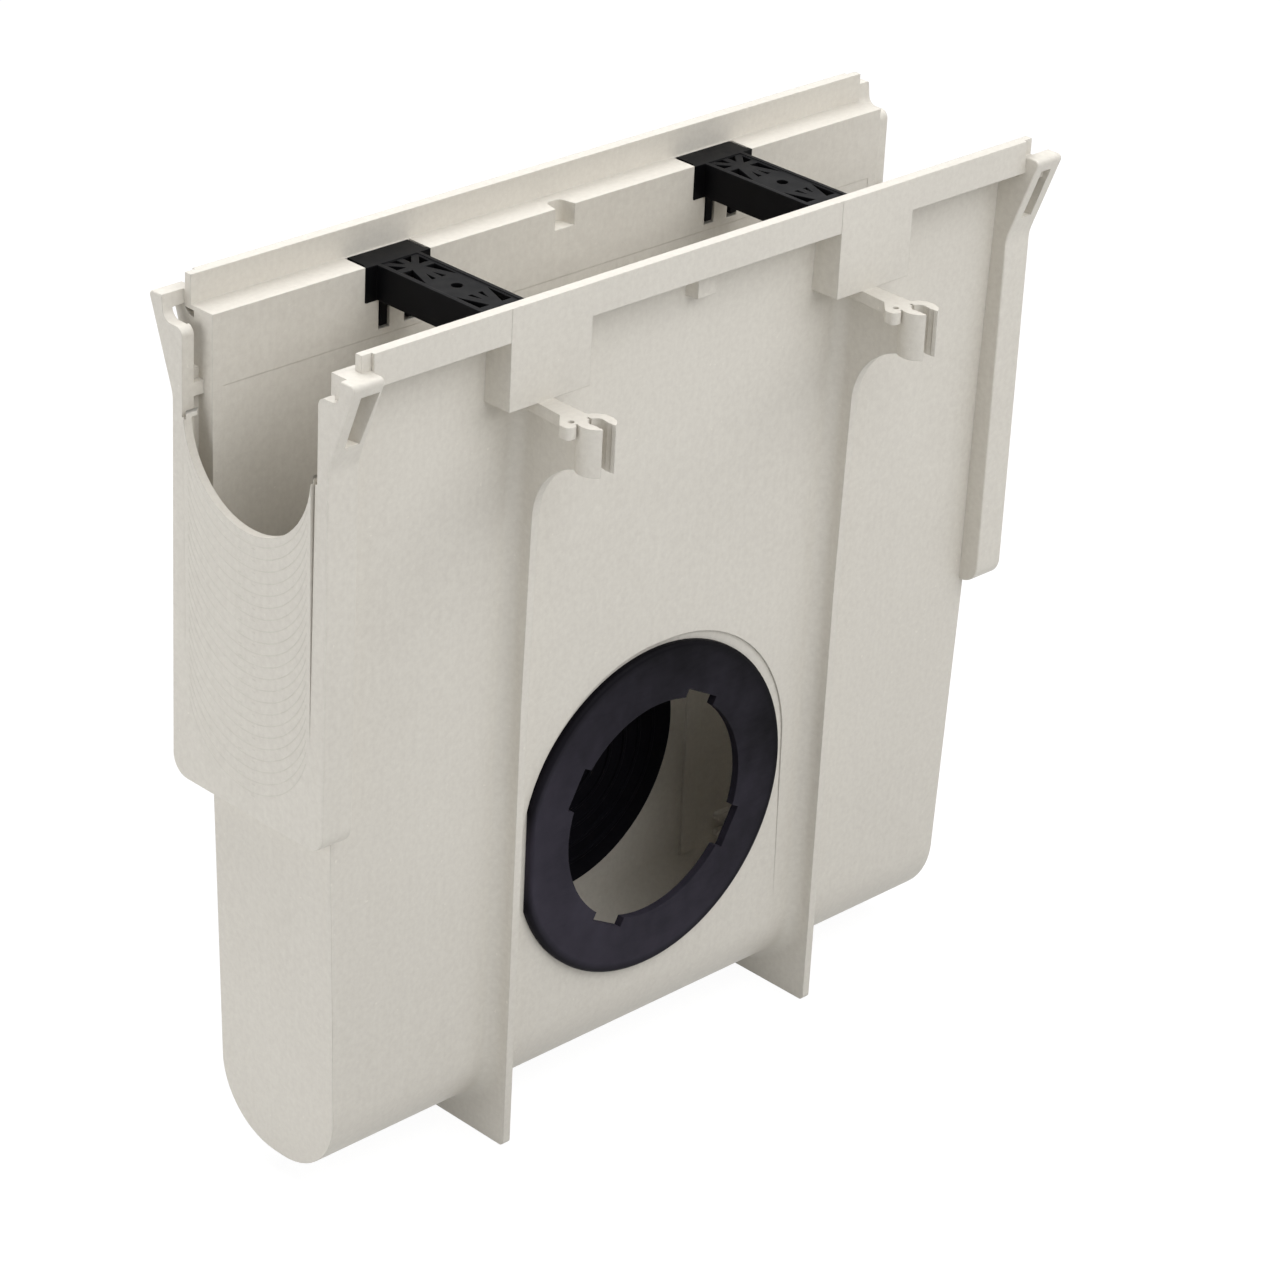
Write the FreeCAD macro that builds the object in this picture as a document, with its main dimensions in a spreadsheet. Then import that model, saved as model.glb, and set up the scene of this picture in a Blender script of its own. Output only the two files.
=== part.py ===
"""Catch basin for a drainage channel: moulded body, two crossbars, outlet ring and outlet plug.

Millimetres, +Z up, X along the channel. The front outlet faces -Y and the feet stand on z = 0.
"""
import FreeCAD
import Part
import Sketcher

import math
import os

SIZES = (
    ("height", 521.8, "feet to rim top"),
    ("rim_length", 500.0, "laying length of the channel joint"),
    ("rim_half", 70.75, "half width over the rim"),
    ("rim_thick", 6.6, "rim strip"),
    ("rim_end", 6.6, "length of the stepped rim end"),
    ("rim_step", 2.0, "step at the rim end"),
    ("ledge_top", 505.4, "grating seat"),
    ("ledge_plate", 2.5, "thickness of the grating seat"),
    ("ledge_half", 46.35, "half width of the clear opening"),
    ("wall_top_half", 52.4, "outside of the long wall under the ledge"),
    ("wall_mid_half", 49.3, "outside of the long wall at the bend"),
    ("wall_mid_up", 371.0, "height of the bend in the long wall"),
    ("wall_low_half", 46.6, "outside of the long wall at the bottom"),
    ("wall_thick", 3.8, "long wall and end wall"),
    ("wall_step_up", 464.1, "mould step in the long wall, also the pocket floor"),
    ("wall_step", 0.2, "depth of the mould step"),
    ("wall_step_end", 243.0, "half length of the stepped area"),
    ("trough_low", 15.0, "underside of the trough"),
    ("trough_round", 43.4, "outside radius of the trough"),
    ("end_high_half", 247.4, "half length at the top of the drafted end"),
    ("end_low_half", 239.5, "half length at the bottom of the drafted end"),
    ("collar_low", 239.0, "underside of the end collar"),
    ("collar_half", 61.5, "half width of the end collar"),
    ("collar_in", 244.0, "inner end of the collar"),
    ("collar_out", 264.4, "outer end of the collar"),
    ("collar_round", 12.0, "bottom corner of the collar"),
    ("collar_edge", 0.9, "rounded edges of the collar and tabs"),
    ("arm_half", 53.4, "half width between the collar arms"),
    ("arm_thick", 7.8, "collar arm along the channel"),
    ("arm_top", 499.0, "top of the collar arm"),
    ("arm_round", 5.0, "inner top corner of the arm"),
    ("gap_half", 57.5, "half width of the slot behind the arms"),
    ("gap_floor", 4.0, "collar floor"),
    ("gap_round", 8.0, "bottom corner of the slot"),
    ("bridge_low", 459.5, "underside of the bridge in the slot"),
    ("bridge_tall", 7.5, "bridge in the slot"),
    ("notch_half", 50.4, "half width of the channel notch"),
    ("notch_round", 50.0, "radius of the channel notch"),
    ("notch_low", 404.5, "invert of the channel notch"),
    ("notch_shoulder", 450.0, "top of the knock-out panel"),
    ("panel_thick", 3.8, "knock-out panel"),
    ("panel_proud", 1.6, "panel proud of the arms at its top"),
    ("panel_flush", 300.0, "height where the panel is flush"),
    ("slit_wide", 1.4, "slit beside the panel"),
    ("slit_deep", 3.0, "depth of the slit"),
    ("tab_out_half", 81.0, "half width over the corner tabs"),
    ("tab_top", 512.4, "top of the corner tab"),
    ("tab_root", 460.0, "height where the tab leaves the collar"),
    ("tab_bend", 20.0, "bend at the tab root"),
    ("tab_corner", 2.5, "outer top corner of the tab"),
    ("tab_in_top", 70.0, "inner face of the tab at its top"),
    ("tab_in_low", 68.3, "inner face of the tab at the arm"),
    ("tab_fillet", 6.0, "inner corner of tab and arm"),
    ("tab_slot_in", 250.0, "tab slot, near end inside"),
    ("tab_slot_lip", 245.0, "tab slot, near end outside"),
    ("tab_slot_out", 258.0, "tab slot, far end"),
    ("tab_slot_low", 473.0, "tab slot, bottom"),
    ("tab_slot_top", 504.5, "tab slot, top"),
    ("tab_slot_head", 498.0, "tab slot, top of the part that runs through on the right"),
    ("tab_skin_half", 72.5, "inner end of the blind slot head on the right"),
    ("key_long", 10.5, "locating key along the channel"),
    ("key_wide", 6.8, "locating key across the channel"),
    ("station", 122.0, "ribs and pockets from the middle"),
    ("rib_thick", 5.2, "side rib and foot"),
    ("rib_half", 60.8, "half width over the ribs"),
    ("rib_straight", 280.0, "height where the rib starts to lean out"),
    ("rib_fillet", 8.0, "root of the rib"),
    ("foot_half", 59.4, "half width of the foot"),
    ("foot_round", 3.0, "corner of the foot"),
    ("gusset_half", 64.2, "gusset corner across"),
    ("gusset_up", 425.0, "gusset corner height"),
    ("gusset_round", 42.0, "hollow under the clip arm"),
    ("gusset_end_up", 434.9, "underside of the gusset at the clip"),
    ("arm_end", 100.0, "half width at the clip's back"),
    ("pocket_wide", 57.0, "crossbar pocket along the channel"),
    ("pocket_skin", 5.0, "outer wall of the pocket"),
    ("pocket_proud", 0.15, "pocket face proud of the rim"),
    ("bar_shift", 2.0, "crossbars and their seats from the ribs"),
    ("head_wide", 42.3, "crossbar head along the channel"),
    ("head_half", 62.9, "half length of the crossbar"),
    ("head_play", 0.4, "play round the crossbar head"),
    ("seat_low", 485.2, "shoulder that carries the crossbar"),
    ("seat_mouth", 26.0, "prong sockets under the shoulder"),
    ("post_half", 5.2, "half width of the post between the sockets"),
    ("seat_floor", 467.9, "floor of the pocket"),
    ("flange_right", 2.6, "clip arm top, right edge from the rib"),
    ("flange_left", 6.5, "clip arm top, left edge from the rib at the wall"),
    ("flange_thick", 7.0, "clip arm top"),
    ("flange_neck", 88.6, "where the tie lug starts"),
    ("neck_left", 9.8, "left edge from the rib where the tie lug starts"),
    ("lug_in", 97.5, "tie lug, near corner"),
    ("lug_out", 104.4, "tie lug, far edge"),
    ("lug_reach", 18.5, "tie lug from the rib"),
    ("lug_end", 12.0, "right end of the tie lug from the rib"),
    ("lug_gap", 102.2, "start of the gap between tie lug and clip"),
    ("lug_round", 3.0, "tie lug corners"),
    ("lug_hole", 1.75, "radius of the tie hole"),
    ("lug_hole_reach", 11.0, "tie hole from the rib"),
    ("lug_hole_half", 98.5, "tie hole from the middle"),
    ("clip_half", 106.5, "rod axis from the middle"),
    ("clip_shift", 0.6, "rod axis from the rib"),
    ("clip_outer", 10.6, "outside radius of the clip"),
    ("clip_inner", 4.6, "radius of the rod"),
    ("clip_mouth", 3.8, "half width of the clip's mouth at the rod"),
    ("clip_flare", 5.0, "half width of the clip's mouth at its tips"),
    ("clip_tooth", 3.6, "spacing of the teeth in the mouth"),
    ("clip_bite", 0.6, "depth of a tooth"),
    ("clip_slit", 0.7, "half width of the slit behind the rod"),
    ("clip_root", 99.5, "end of the slit from the middle"),
    ("clip_low", 437.0, "underside of the clip"),
    ("mark_shift", 2.5, "centre mark from the middle, opposite on the two sides"),
    ("mark_half", 7.4, "half width of the centre mark at its mouth"),
    ("mark_back_half", 5.0, "half width of the centre mark at its back"),
    ("mark_round", 4.0, "rounded back of the centre mark"),
    ("mark_back", 56.9, "back of the centre mark"),
    ("mark_low", 492.8, "floor of the centre mark"),
    ("bump_half", 10.6, "half width of the wall round the centre mark, at its root"),
    ("bump_out_half", 6.8, "half width of that wall outside"),
    ("bump_out", 59.6, "outside of that wall"),
    ("bump_low", 486.0, "underside of that wall"),
    ("band_near", 112.0, "band inside the wall, near edge"),
    ("band_far", 124.0, "band inside the wall, far edge"),
    ("band_proud", 1.6, "band proud of the wall"),
    ("peg_near", 141.0, "pegs inside the rear wall, near end"),
    ("peg_far", 155.0, "upper peg, far end"),
    ("peg_far_low", 150.0, "lower peg, far end"),
    ("peg_up", 74.5, "upper peg height"),
    ("peg_up_low", 63.0, "lower peg height"),
    ("peg_tall", 5.0, "height of a peg"),
    ("peg_proud", 4.0, "pegs proud of the wall"),
    ("peg_round", 2.0, "corner of a peg"),
    ("outlet_x", -8.4, "outlet axis along the channel"),
    ("outlet_up", 173.6, "outlet axis height"),
    ("outlet_hole", 85.0, "radius of the hole in the wall"),
    ("seat_half", 47.0, "outlet seat from the middle"),
    ("seat_left", 108.0, "left edge of the outlet seat"),
    ("seat_right", 96.0, "right edge of the outlet seat, top"),
    ("seat_right_low", 101.0, "right edge of the outlet seat, bottom"),
    ("seat_foot", 62.0, "bottom of the outlet seat"),
    ("seat_rise", 104.0, "top of the outlet seat above its axis"),
    ("seat_round", 98.0, "corner of the outlet seat"),
    ("ring_outer", 101.2, "outside radius of the ring"),
    ("ring_inner", 67.0, "radius of the ring's opening"),
    ("ring_thick", 4.8, "ring flange"),
    ("ring_edge", 2.6, "rounded rim of the ring"),
    ("ring_flat", 95.4, "flat of the ring from its axis"),
    ("ring_notch", 71.4, "notches of the opening, to this radius"),
    ("ring_notch_wide", 25.4, "width of a notch"),
    ("ring_notch_turn", 61.5, "angle of the first notch"),
    ("spigot_outer", 84.2, "radius of the spigot in the wall"),
    ("spigot_wall", 3.4, "wall of the spigot"),
    ("spigot_deep", 6.4, "spigot of the ring"),
    ("plug_face", 21.0, "inner face of the plug from the middle"),
    ("plug_disc", 3.2, "thickness of the plug's face"),
    ("plug_ridge", 1.4, "height of the plug's ridges"),
    ("plug_ridge_wide", 2.2, "width of the plug's ridges"),
    ("plug_ridge_step", 11.5, "spacing of the plug's ridges"),
    ("bar_wide", 30.4, "crossbar"),
    ("bar_low", 485.7, "underside of the crossbar"),
    ("bar_plate", 3.0, "crossbar top plate"),
    ("bar_recess", 0.5, "top plate below the side walls"),
    ("bar_skirt", 2.4, "crossbar side walls"),
    ("bar_half", 45.8, "half length of the side walls"),
    ("leg_thick", 3.0, "crossbar end plate"),
    ("leg_wide", 45.0, "crossbar end plate along the channel"),
    ("prong_low", 470.0, "tip of the crossbar prongs"),
    ("prong_wide", 5.0, "crossbar prong"),
    ("prong_reach", 10.0, "prongs from the crossbar's middle"),
    ("bolt_hole", 3.3, "radius of the bolt hole"),
    ("spoke_half", 2.1, "half width of the star's long spoke"),
    ("star_half", 11.2, "half width of the star"),
    ("star_far", 45.3, "far end of the star"),
    ("far_tip", 38.0, "tip of the far window"),
    ("far_corner", 8.0, "outer corner of the far window"),
    ("side_tip", 4.4, "tip of the side windows"),
    ("side_corner", 42.5, "outer corner of the far side window"),
    ("cross_far", 34.6, "far edge of the cross spoke"),
    ("cross_near", 29.9, "near edge of the cross spoke"),
    ("star_near", 11.5, "near end of the star"),
    ("slot_far", 22.0, "tip of the near window"),
    ("slot_near", 13.9, "base of the near window"),
    ("slot_corner", 5.0, "outer corner of the near window"),
)
PLUG_RIDGES = 6
RING_NOTCHES = 4
FULL_TURN = 360
PAST_EDGE = 1.1
SIDES = (-1, 1)
TINY = 1e-6


class Size:
    """A length that knows its number and the spreadsheet formula that gives it."""

    def __init__(self, number, formula):
        self.number = number
        self.formula = formula

    def __add__(self, other):
        other = as_size(other)
        return Size(self.number + other.number, f"({self.formula} + {other.formula})")

    def __sub__(self, other):
        other = as_size(other)
        return Size(self.number - other.number, f"({self.formula} - {other.formula})")

    def __mul__(self, factor):
        return Size(self.number * factor, f"({self.formula} * {factor})")

    def __neg__(self):
        return self * -1


class Sizes:
    """The spreadsheet of driving dimensions, read as attributes."""

    def __init__(self, document, rows):
        self.numbers = {name: number for name, number, note in rows}
        sheet = document.addObject("Spreadsheet::Sheet", "Sizes")
        for row, (name, number, note) in enumerate(rows, start=1):
            sheet.set(f"A{row}", name)
            sheet.set(f"B{row}", str(number))
            sheet.set(f"C{row}", note)
            sheet.setAlias(f"B{row}", name)
        document.recompute()

    def __getattr__(self, name):
        return Size(self.numbers[name], f"Sizes.{name}")


def as_size(value):
    """Let a plain number stand beside a size."""
    return value if isinstance(value, Size) else Size(float(value), str(value))


def origin_feature(body, role):
    """Find a plane or an axis of the body's own origin."""
    return next(feature for feature in body.Origin.OriginFeatures if feature.Role == role)


def new_sketch(body, name, role, offset=None):
    """Attach a sketch to an origin plane, moved along the plane's normal by the offset."""
    sketch = body.newObject("Sketcher::SketchObject", name)
    sketch.AttachmentSupport = (origin_feature(body, role), [""])
    sketch.MapMode = "FlatFace"
    if offset is not None:
        sketch.setExpression("AttachmentOffset.Base.z", offset.formula)
    return sketch


def hold(sketch, point, across, up):
    """Fix a point of the sketch at its two coordinates."""
    for kind, size, axis in (("DistanceX", across, -2), ("DistanceY", up, -1)):
        size = as_size(size)
        if abs(size.number) < TINY:
            sketch.addConstraint(Sketcher.Constraint("PointOnObject", point[0], point[1], axis))
            continue
        origin = (-1, 1)
        first, second, length = (origin, point, size) if size.number > 0 else (point, origin, -size)
        index = sketch.addConstraint(Sketcher.Constraint(kind, *first, *second, length.number))
        sketch.setExpression(f"Constraints[{index}]", length.formula)


def hold_radius(sketch, curve, radius):
    """Fix the radius of an arc or a circle."""
    radius = as_size(radius)
    index = sketch.addConstraint(Sketcher.Constraint("Radius", curve, radius.number))
    sketch.setExpression(f"Constraints[{index}]", radius.formula)


def circle(sketch, across, up, radius):
    """Draw a circle whose centre and radius follow the sizes."""
    centre = FreeCAD.Vector(as_size(across).number, as_size(up).number, 0)
    curve = sketch.addGeometry(Part.Circle(centre, FreeCAD.Vector(0, 0, 1), as_size(radius).number))
    hold(sketch, (curve, 3), across, up)
    hold_radius(sketch, curve, radius)


def outline(sketch, corners):
    """Draw a closed outline through corners (across, up) or, to round one, (across, up, radius)."""
    points = [FreeCAD.Vector(as_size(c[0]).number, as_size(c[1]).number, 0) for c in corners]
    rounds = [as_size(c[2]) if len(c) == 3 else None for c in corners]
    count = len(corners)
    arrive, leave, centres = [], [], []
    for index, (here, radius) in enumerate(zip(points, rounds)):
        back = (points[index - 1] - here).normalize()
        ahead = (points[(index + 1) % count] - here).normalize()
        half_angle = back.getAngle(ahead) / 2
        setback = radius.number / math.tan(half_angle) if radius else 0
        arrive.append(here + back * setback)
        leave.append(here + ahead * setback)
        middle = (back + ahead).normalize() if radius else back
        centres.append(here + middle * (radius.number / math.sin(half_angle)) if radius else here)
    lines = [sketch.addGeometry(Part.LineSegment(leave[i], arrive[(i + 1) % count])) for i in range(count)]
    for index, corner in enumerate(corners):
        before, after = lines[index - 1], lines[index]
        if rounds[index] is None:
            sketch.addConstraint(Sketcher.Constraint("Coincident", before, 2, after, 1))
            hold(sketch, (after, 1), corner[0], corner[1])
            continue
        round_corner(sketch, corner, before, after, arrive[index], leave[index], centres[index])


def round_corner(sketch, corner, before, after, start, end, centre):
    """Join two lines by a tangent arc and keep their crossing on the corner."""
    spread_start = start - centre
    spread_end = end - centre
    turns_left = spread_start.cross(spread_end).z > 0
    first, last = (spread_start, spread_end) if turns_left else (spread_end, spread_start)
    angle_first = math.atan2(first.y, first.x)
    angle_last = math.atan2(last.y, last.x)
    if angle_last < angle_first:
        angle_last += 2 * math.pi
    full = Part.Circle(centre, FreeCAD.Vector(0, 0, 1), as_size(corner[2]).number)
    arc = sketch.addGeometry(Part.ArcOfCircle(full, angle_first, angle_last))
    start_end, end_end = (1, 2) if turns_left else (2, 1)
    sketch.addConstraint(Sketcher.Constraint("Tangent", before, 2, arc, start_end))
    sketch.addConstraint(Sketcher.Constraint("Tangent", arc, end_end, after, 1))
    hold_radius(sketch, arc, corner[2])
    crossing = FreeCAD.Vector(as_size(corner[0]).number, as_size(corner[1]).number, 0)
    mark = sketch.addGeometry(Part.Point(crossing), True)
    sketch.addConstraint(Sketcher.Constraint("PointOnObject", mark, 1, before))
    sketch.addConstraint(Sketcher.Constraint("PointOnObject", mark, 1, after))
    hold(sketch, (mark, 1), corner[0], corner[1])


def box(sketch, left, right, low, high, *rounding):
    """Draw an upright rectangle, with all corners rounded if a radius is given."""
    outline(sketch, [(x, y, *rounding) for x, y in ((left, low), (right, low), (right, high), (left, high))])


def mirrored(corners):
    """The same corners on the other side of the sketch's upright axis."""
    return [(-as_size(corner[0]), *corner[1:]) for corner in reversed(corners)]


def symmetric(corners):
    """Close a half outline, drawn from low to high on the positive side, with its mirror image."""
    return list(corners) + mirrored(corners)


def extrude(body, kind, name, sketch, length=None, both_ways=False, forward=True):
    """Pad or pocket a sketch: along its normal, against it, or evenly to both sides."""
    feature = body.newObject(f"PartDesign::{kind}", name)
    feature.Profile = sketch
    feature.AllowMultiFace = True
    feature.SideType = "Symmetric" if both_ways else "One side"
    feature.Reversed = (kind == "Pocket") == forward
    if length is None:
        feature.Type = "ThroughAll"
    else:
        feature.setExpression("Length", as_size(length).formula)
    return feature


def mirror(body, name, originals, role):
    """Repeat features on the other side of an origin plane."""
    feature = body.newObject("PartDesign::Mirrored", name)
    feature.Originals = originals
    feature.MirrorPlane = (origin_feature(body, role), [""])
    body.Tip = feature
    return feature


def fillet(document, body, name, base, radius, wanted):
    """Round the edges of the last feature whose corner points all pass the test."""
    document.recompute()
    names = [
        f"Edge{index}"
        for index, edge in enumerate(base.Shape.Edges, start=1)
        if all(wanted(vertex.Point) for vertex in edge.Vertexes)
    ]
    feature = body.newObject("PartDesign::Fillet", name)
    feature.Base = (base, names)
    feature.setExpression("Radius", radius.formula)
    return feature


def new_body(document, label):
    """Start a sub-part."""
    body = document.addObject("PartDesign::Body", label)
    body.Label = label
    return body


def basin_shell(document, body, dim):
    """Trough, drafted ends, end collars with tabs, ribs, pockets and rim, all still solid."""
    under_ledge = dim.ledge_top - dim.ledge_plate

    sketch = new_sketch(body, "trough_section", "YZ_Plane")
    outline(sketch, symmetric([
        (dim.wall_low_half, dim.trough_low, dim.trough_round),
        (dim.wall_mid_half, dim.wall_mid_up),
        (dim.wall_top_half, under_ledge),
    ]))
    extrude(body, "Pad", "trough", sketch, dim.end_high_half * 2, both_ways=True)

    sketch = new_sketch(body, "end_draft_outline", "XZ_Plane")
    wedge = [
        (dim.end_low_half, dim.trough_low),
        (dim.collar_out, dim.trough_low),
        (dim.collar_out, dim.collar_low),
        (dim.end_high_half, dim.collar_low),
    ]
    outline(sketch, wedge)
    outline(sketch, mirrored(wedge))
    extrude(body, "Pocket", "end_draft", sketch, both_ways=True)

    sketch = new_sketch(body, "collar_section", "YZ_Plane", dim.collar_in)
    outline(sketch, symmetric([
        (dim.collar_half, dim.collar_low, dim.collar_round),
        (dim.collar_half, dim.arm_top),
    ]))
    collar = extrude(body, "Pad", "collar", sketch, dim.collar_out - dim.collar_in)

    sketch = new_sketch(body, "tab_section", "YZ_Plane", dim.collar_in)
    tab_low = dim.tab_root - dim.tab_bend
    tab = [
        (dim.arm_half, tab_low),
        (dim.collar_half, tab_low),
        (dim.collar_half, dim.tab_root, dim.tab_bend),
        (dim.tab_out_half, dim.tab_top, dim.tab_corner),
        (dim.tab_in_top, dim.tab_top),
        (dim.tab_in_low, dim.arm_top, dim.tab_fillet),
        (dim.arm_half, dim.arm_top),
    ]
    outline(sketch, tab)
    outline(sketch, mirrored(tab))
    tabs = extrude(body, "Pad", "tabs", sketch, dim.collar_out - dim.collar_in)
    both_ends = mirror(body, "both_ends", [collar, tabs], "YZ_Plane")

    ends = (dim.collar_in.number, dim.collar_out.number)

    def on_collar_rim(point):
        at_end = min(abs(abs(point.x) - end) for end in ends) < TINY
        outside = abs(point.y) > dim.collar_half.number - dim.collar_round.number - TINY
        inner_top = point.z > dim.arm_top.number - TINY and abs(point.y) < dim.tab_in_top.number + TINY
        return at_end and outside and not inner_top

    fillet(document, body, "collar_edges", both_ends, dim.collar_edge, on_collar_rim)

    sketch = new_sketch(body, "rib_section", "YZ_Plane", dim.station - dim.rib_thick * 0.5)
    outline(sketch, symmetric([
        (dim.foot_half, 0, dim.foot_round),
        (dim.rib_half, dim.rib_straight),
        (dim.gusset_half, dim.gusset_up, dim.gusset_round),
        (dim.arm_end, dim.gusset_end_up),
        (dim.arm_end, dim.wall_step_up),
    ]))
    ribs = extrude(body, "Pad", "ribs", sketch, dim.rib_thick)

    sketch = new_sketch(body, "pocket_section", "YZ_Plane", dim.station - dim.pocket_wide * 0.5)
    face_half = dim.rim_half + dim.pocket_proud
    outline(sketch, symmetric([
        (face_half, dim.wall_step_up),
        (face_half, dim.height),
        (dim.rim_half - dim.rim_thick, dim.height),
        (dim.rim_half - dim.rim_thick, under_ledge),
    ]))
    pockets = extrude(body, "Pad", "pockets", sketch, dim.pocket_wide)
    both_stations = mirror(body, "both_stations", [ribs, pockets], "YZ_Plane")

    rib_sides = dim.rib_thick.number / 2

    def on_rib_root(point):
        on_side = abs(abs(abs(point.x) - dim.station.number) - rib_sides) < TINY
        return on_side and abs(point.y) < dim.wall_top_half.number and point.z > TINY

    fillet(document, body, "rib_roots", both_stations, dim.rib_fillet, on_rib_root)

    sketch = new_sketch(body, "rim_section", "YZ_Plane")
    rim = [
        (dim.ledge_half, under_ledge),
        (dim.rim_half, under_ledge),
        (dim.rim_half, dim.height),
        (dim.rim_half - dim.rim_thick, dim.height),
        (dim.rim_half - dim.rim_thick, dim.ledge_top),
        (dim.ledge_half, dim.ledge_top),
    ]
    outline(sketch, rim)
    outline(sketch, mirrored(rim))
    extrude(body, "Pad", "rim", sketch, dim.rim_length, both_ways=True)

    sketch = new_sketch(body, "end_rib_section", "YZ_Plane", dim.collar_in)
    box(sketch, -dim.collar_half, dim.collar_half, dim.tab_root, under_ledge)
    end_rib = extrude(body, "Pad", "end_rib", sketch, dim.rim_length * 0.5 - dim.collar_in)
    mirror(body, "both_end_ribs", [end_rib], "YZ_Plane")


def basin_details(body, dim):
    """Clips, lugs, outlet seats, panel wedge and the walls round the centre marks."""
    sketch = new_sketch(body, "flange_outline", "XY_Plane", dim.wall_step_up - dim.flange_thick)
    for end in SIDES:
        station = dim.station * end
        for side in SIDES:
            corners = [
                (station + dim.flange_right, dim.wall_mid_half * side),
                (station + dim.flange_right, dim.lug_gap * side),
                (station - dim.lug_end, dim.lug_gap * side),
                (station - dim.lug_end, dim.lug_out * side, dim.lug_round * 0.5),
                (station - dim.lug_reach, dim.lug_out * side, dim.lug_round),
                (station - dim.lug_reach, dim.lug_in * side, dim.lug_round),
                (station - dim.neck_left, dim.flange_neck * side),
                (station - dim.flange_left, dim.wall_mid_half * side),
            ]
            outline(sketch, corners)
    extrude(body, "Pad", "clip_flanges", sketch, dim.flange_thick)

    sketch = new_sketch(body, "clip_outline", "XY_Plane", dim.clip_low)
    for end in SIDES:
        for side in SIDES:
            circle(sketch, dim.station * end - dim.clip_shift, dim.clip_half * side, dim.clip_outer)
    extrude(body, "Pad", "clips", sketch, dim.wall_step_up - dim.clip_low)

    sketch = new_sketch(body, "bump_outline", "XY_Plane", dim.bump_low)
    for side in SIDES:
        middle = dim.mark_shift * -side
        outline(sketch, [
            (middle - dim.bump_half, dim.ledge_half * side),
            (middle + dim.bump_half, dim.ledge_half * side),
            (middle + dim.bump_out_half, dim.bump_out * side),
            (middle - dim.bump_out_half, dim.bump_out * side),
        ])
    extrude(body, "Pad", "bumps", sketch, dim.ledge_top - dim.ledge_plate - dim.bump_low)

    sketch = new_sketch(body, "outlet_seat_outline", "XZ_Plane", dim.seat_half)
    seat_top = dim.outlet_up + dim.seat_rise
    outline(sketch, [
        (-dim.seat_left, dim.seat_foot),
        (dim.seat_right_low, dim.seat_foot),
        (dim.seat_right, seat_top, dim.seat_round),
        (-dim.seat_left, seat_top, dim.seat_round),
    ])
    outlet_seat = extrude(body, "Pocket", "outlet_seat", sketch, dim.wall_mid_half - dim.seat_half)
    mirror(body, "both_outlet_seats", [outlet_seat], "XZ_Plane")

    sketch = new_sketch(body, "panel_wedge_outline", "XZ_Plane")
    wedge = [
        (dim.collar_out - dim.panel_thick, dim.panel_flush),
        (dim.collar_out, dim.panel_flush),
        (dim.collar_out + dim.panel_proud, dim.notch_shoulder),
        (dim.collar_out - dim.panel_thick, dim.notch_shoulder),
    ]
    outline(sketch, wedge)
    outline(sketch, mirrored(wedge))
    extrude(body, "Pad", "panel_wedge", sketch, dim.notch_half * 2, both_ways=True)


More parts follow.
